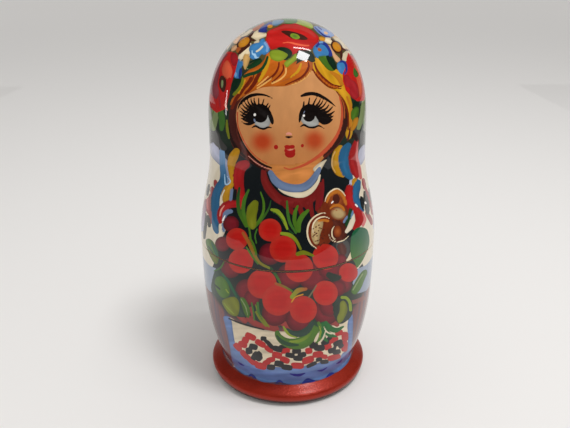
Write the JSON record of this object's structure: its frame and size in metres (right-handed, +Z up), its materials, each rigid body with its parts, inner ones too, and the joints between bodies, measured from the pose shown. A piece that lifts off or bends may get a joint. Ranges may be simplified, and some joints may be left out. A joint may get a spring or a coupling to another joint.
{
  "type": "nesting doll set",
  "caption": "Turned and painted wooden nesting dolls: each hollow doll parts at a spigot joint in the belly and holds the next smaller one, down to a solid doll.",
  "frame": {"origin": "centre of the foot's flat underside, on the table", "axes": "+Z up along the turning axis; the painted faces look along -Y"},
  "size_m": [0.0822, 0.0822, 0.17],
  "materials": {
    "lacquered_top": "painted limewood under gloss lacquer, bare wood inside",
    "lacquered_bottom": "painted limewood under gloss lacquer, bare wood inside, metallic red foot",
    "lacquered_solid": "painted limewood under gloss lacquer"
  },
  "bodies": {
    "doll_1_bottom": {"doll_1_bottom": "lacquered_bottom"},
    "doll_1_top": {"doll_1_top": "lacquered_top"},
    "doll_2_bottom": {"doll_2_bottom": "lacquered_bottom"},
    "doll_2_top": {"doll_2_top": "lacquered_top"},
    "doll_3_bottom": {"doll_3_bottom": "lacquered_bottom"},
    "doll_3_top": {"doll_3_top": "lacquered_top"},
    "doll_4_bottom": {"doll_4_bottom": "lacquered_bottom"},
    "doll_4_top": {"doll_4_top": "lacquered_top"},
    "doll_5_bottom": {"doll_5_bottom": "lacquered_bottom"},
    "doll_5_top": {"doll_5_top": "lacquered_top"},
    "doll_6_bottom": {"doll_6_bottom": "lacquered_bottom"},
    "doll_6_top": {"doll_6_top": "lacquered_top"},
    "doll_7_solid": {"doll_7_solid": "lacquered_solid"}
  },
  "joints": [
    {"name": "doll_1_open", "type": "slide", "parent": "doll_1_bottom", "child": "doll_1_top", "axis": [0, 0, 1], "range_m": [0, 0.578]},
    {"name": "doll_2_lift_out", "type": "slide", "parent": "doll_1_bottom", "child": "doll_2_bottom", "axis": [0, 0, 1], "range_m": [0, 0.07306]},
    {"name": "doll_2_open", "type": "slide", "parent": "doll_2_bottom", "child": "doll_2_top", "axis": [0, 0, 1], "range_m": [0, 0.4216]},
    {"name": "doll_3_lift_out", "type": "slide", "parent": "doll_2_bottom", "child": "doll_3_bottom", "axis": [0, 0, 1], "range_m": [0, 0.05804]},
    {"name": "doll_3_open", "type": "slide", "parent": "doll_3_bottom", "child": "doll_3_top", "axis": [0, 0, 1], "range_m": [0, 0.29785]},
    {"name": "doll_4_lift_out", "type": "slide", "parent": "doll_3_bottom", "child": "doll_4_bottom", "axis": [0, 0, 1], "range_m": [0, 0.04653]},
    {"name": "doll_4_open", "type": "slide", "parent": "doll_4_bottom", "child": "doll_4_top", "axis": [0, 0, 1], "range_m": [0, 0.19889]},
    {"name": "doll_5_lift_out", "type": "slide", "parent": "doll_4_bottom", "child": "doll_5_bottom", "axis": [0, 0, 1], "range_m": [0, 0.03763]},
    {"name": "doll_5_open", "type": "slide", "parent": "doll_5_bottom", "child": "doll_5_top", "axis": [0, 0, 1], "range_m": [0, 0.11907]},
    {"name": "doll_6_lift_out", "type": "slide", "parent": "doll_5_bottom", "child": "doll_6_bottom", "axis": [0, 0, 1], "range_m": [0, 0.03081]},
    {"name": "doll_6_open", "type": "slide", "parent": "doll_6_bottom", "child": "doll_6_top", "axis": [0, 0, 1], "range_m": [0, 0.05387]},
    {"name": "doll_7_lift_out", "type": "slide", "parent": "doll_6_bottom", "child": "doll_7_solid", "axis": [0, 0, 1], "range_m": [0, 0.02555]}
  ],
  "couplings": [
    {"joint": "doll_2_lift_out", "follows": "doll_1_open", "ratio": 0.1264},
    {"joint": "doll_2_open", "follows": "doll_1_open", "ratio": 0.7294},
    {"joint": "doll_3_lift_out", "follows": "doll_1_open", "ratio": 0.1004},
    {"joint": "doll_3_open", "follows": "doll_1_open", "ratio": 0.5153},
    {"joint": "doll_4_lift_out", "follows": "doll_1_open", "ratio": 0.0805},
    {"joint": "doll_4_open", "follows": "doll_1_open", "ratio": 0.3441},
    {"joint": "doll_5_lift_out", "follows": "doll_1_open", "ratio": 0.0651},
    {"joint": "doll_5_open", "follows": "doll_1_open", "ratio": 0.206},
    {"joint": "doll_6_lift_out", "follows": "doll_1_open", "ratio": 0.0533},
    {"joint": "doll_6_open", "follows": "doll_1_open", "ratio": 0.0932},
    {"joint": "doll_7_lift_out", "follows": "doll_1_open", "ratio": 0.0442}
  ]
}
